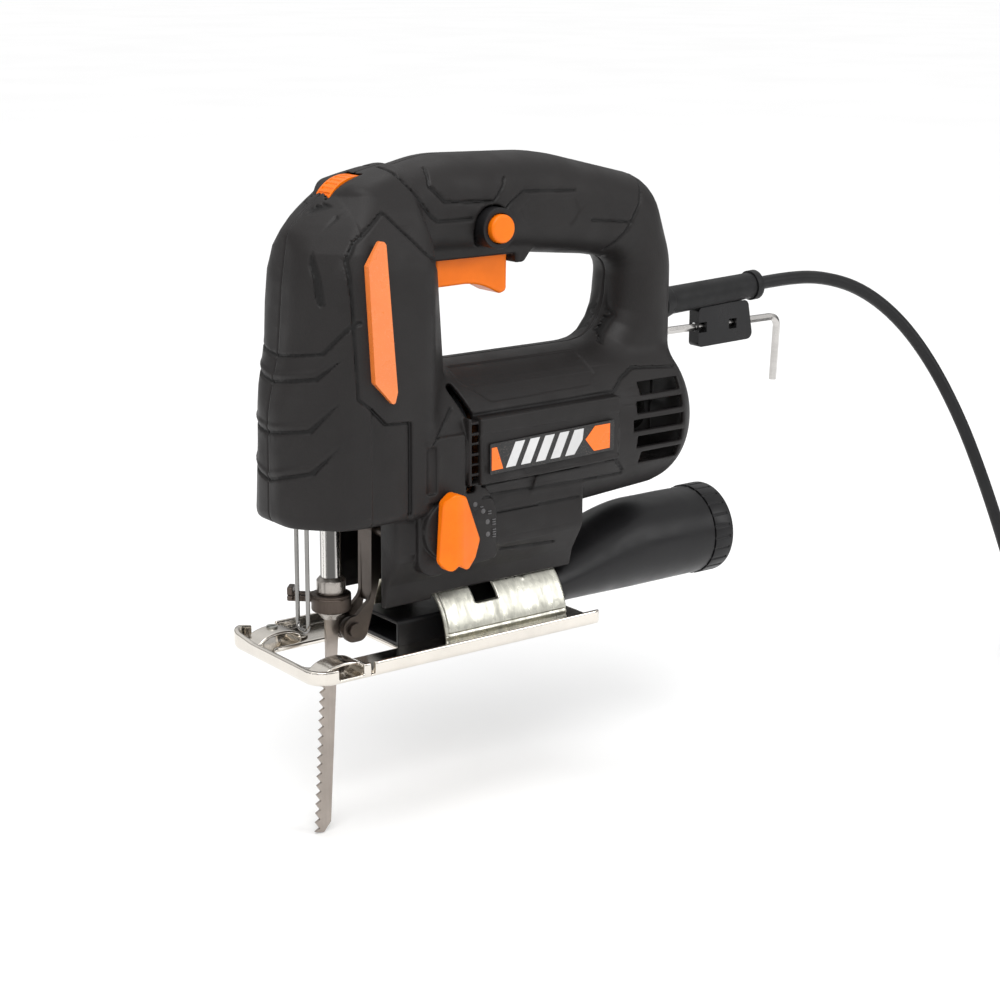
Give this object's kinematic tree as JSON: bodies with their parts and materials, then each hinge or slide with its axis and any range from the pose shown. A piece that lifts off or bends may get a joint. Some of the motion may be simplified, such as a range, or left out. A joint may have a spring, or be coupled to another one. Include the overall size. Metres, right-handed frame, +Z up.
{
  "type": "jigsaw",
  "caption": "Corded D-handle jigsaw with an orbital roller, a tilting sole, a dust outlet, a thumb-wheel speed control and a stored hexagon key.",
  "frame": {"origin": "where the plunger's axis meets the underside of the sole", "axes": "+Z up along the plunger, +X to the rear along the motor, -Y to the side with the orbital lever"},
  "size_m": [0.5109, 0.126, 0.2757],
  "materials": {
    "housing": "fine spark texture",
    "accent": "gloss",
    "orange": "satin",
    "badge": "printed",
    "black": "satin",
    "screw": "black zinc",
    "steel": "ground",
    "chrome": "polished",
    "phosphate": "dark phosphate",
    "nickel": "nickel plated",
    "zinc": "galvanised",
    "blade": "ground",
    "alloy": "cast",
    "laminate": "laminated",
    "copper": "enamelled",
    "bronze": "sintered",
    "brass": "bright",
    "carbon": "carbon",
    "board": "circuit board",
    "switch": "moulded",
    "rubber": "matt",
    "gear": "sintered steel"
  },
  "bodies": {
    "housing": {"housing_left": "housing", "housing_right": "housing", "accent_left": "accent", "accent_right": "accent", "badge_left": "badge", "badge_right": "badge", "housing_screws": "screw", "gear_stud": "steel", "gear_case": "alloy", "front_bearing": "steel", "rear_bearing": "steel", "lower_bush": "bronze", "upper_bush": "bronze", "stator_core": "laminate", "field_coils": "copper", "brush_holders": "brass", "carbon_brushes": "carbon", "fork_pivot": "steel", "speed_board": "board", "trigger_pin": "steel", "power_switch": "switch", "trigger_spring": "steel", "button_collar": "switch", "clamp_saddle": "steel", "clamp_bolts": "screw", "wire_guard": "chrome", "cord_boot": "rubber", "key_clip": "rubber", "cord": "rubber", "cord_coil": "rubber", "coil_tie": "black", "plug": "rubber", "plug_pins": "brass"},
    "armature": {"armature_shaft": "steel", "armature_core": "laminate", "commutator": "copper", "fan": "black", "pinion": "steel"},
    "gear": {"drive_gear": "gear", "crank_pin": "steel"},
    "plunger": {"plunger": "chrome", "blade_holder": "chrome", "blade": "blade"},
    "clamp": {"clamp_ring": "phosphate"},
    "fork": {"pendulum_fork": "phosphate", "roller_pin": "phosphate"},
    "roller": {"guide_roller": "phosphate"},
    "orbit": {"orbit_lever": "orange", "orbit_shaft": "steel"},
    "dial": {"speed_dial": "orange"},
    "trigger": {"trigger": "orange"},
    "lock": {"lock_button": "orange"},
    "sole": {"sole_plate": "nickel", "fence_straps": "nickel", "fence_screw": "screw", "tilt_bracket": "zinc", "dust_duct": "black"},
    "tube": {"dust_tube": "black"},
    "outlet": {"dust_cap": "black"},
    "key": {"hex_key": "steel"}
  },
  "joints": [
    {"name": "armature_spin", "type": "hinge", "parent": "housing", "child": "armature", "pos_m": [0.09, 0, 0.0825], "axis": [1, 0, 0], "continuous": true},
    {"name": "gear_spin", "type": "hinge", "parent": "housing", "child": "gear", "pos_m": [0.0245, 0, 0.109], "axis": [1, 0, 0], "continuous": true},
    {"name": "plunger_stroke", "type": "slide", "parent": "housing", "child": "plunger", "axis": [0, 0, 1], "range_m": [0, 0.019]},
    {"name": "clamp_release", "type": "hinge", "parent": "plunger", "child": "clamp", "pos_m": [0, 0, 0.0225], "axis": [0, 0, -1], "range_deg": [0, 40], "stiffness_Nm_per_rad": 0.03, "springref_deg": -22.92},
    {"name": "fork_swing", "type": "hinge", "parent": "housing", "child": "fork", "pos_m": [0.0205, 0, 0.05], "axis": [0, -1, 0], "range_deg": [0, 3], "stiffness_Nm_per_rad": 0.05, "springref_deg": -11.46},
    {"name": "roller_spin", "type": "hinge", "parent": "fork", "child": "roller", "pos_m": [0.00791, 0, 0.01], "axis": [0, 1, 0], "continuous": true},
    {"name": "orbit_select", "type": "hinge", "parent": "housing", "child": "orbit", "pos_m": [0.0355, -0.03, 0.054], "axis": [0, 1, 0], "range_deg": [0, 66]},
    {"name": "dial_turn", "type": "hinge", "parent": "housing", "child": "dial", "pos_m": [0.012, 0, 0.1775], "axis": [0, 1, 0], "range_deg": [0, 270]},
    {"name": "trigger_pull", "type": "hinge", "parent": "housing", "child": "trigger", "pos_m": [0.05, 0, 0.16], "axis": [0, -1, 0], "range_deg": [0, 7], "stiffness_Nm_per_rad": 0.5, "springref_deg": -5.73, "deforming": ["trigger_spring"]},
    {"name": "lock_press", "type": "slide", "parent": "housing", "child": "lock", "axis": [0, 1, 0], "range_m": [0, 0.003], "stiffness_N_per_m": 200, "springref_m": -0.003},
    {"name": "sole_tilt", "type": "hinge", "parent": "housing", "child": "sole", "pos_m": [0.07, 0, 0.003], "axis": [1, 0, 0], "range_deg": [-45, 45]},
    {"name": "tube_pull", "type": "slide", "parent": "sole", "child": "tube", "axis": [1, 0, 0], "range_m": [0, 0.05]},
    {"name": "outlet_pull", "type": "slide", "parent": "tube", "child": "outlet", "axis": [1, 0, 0], "range_m": [0, 0.02]},
    {"name": "key_pull", "type": "slide", "parent": "housing", "child": "key", "axis": [1, 0, 0], "range_m": [0, 0.05]}
  ],
  "couplings": [
    {"joint": "gear_spin", "follows": "armature_spin", "ratio": -0.27778}
  ]
}
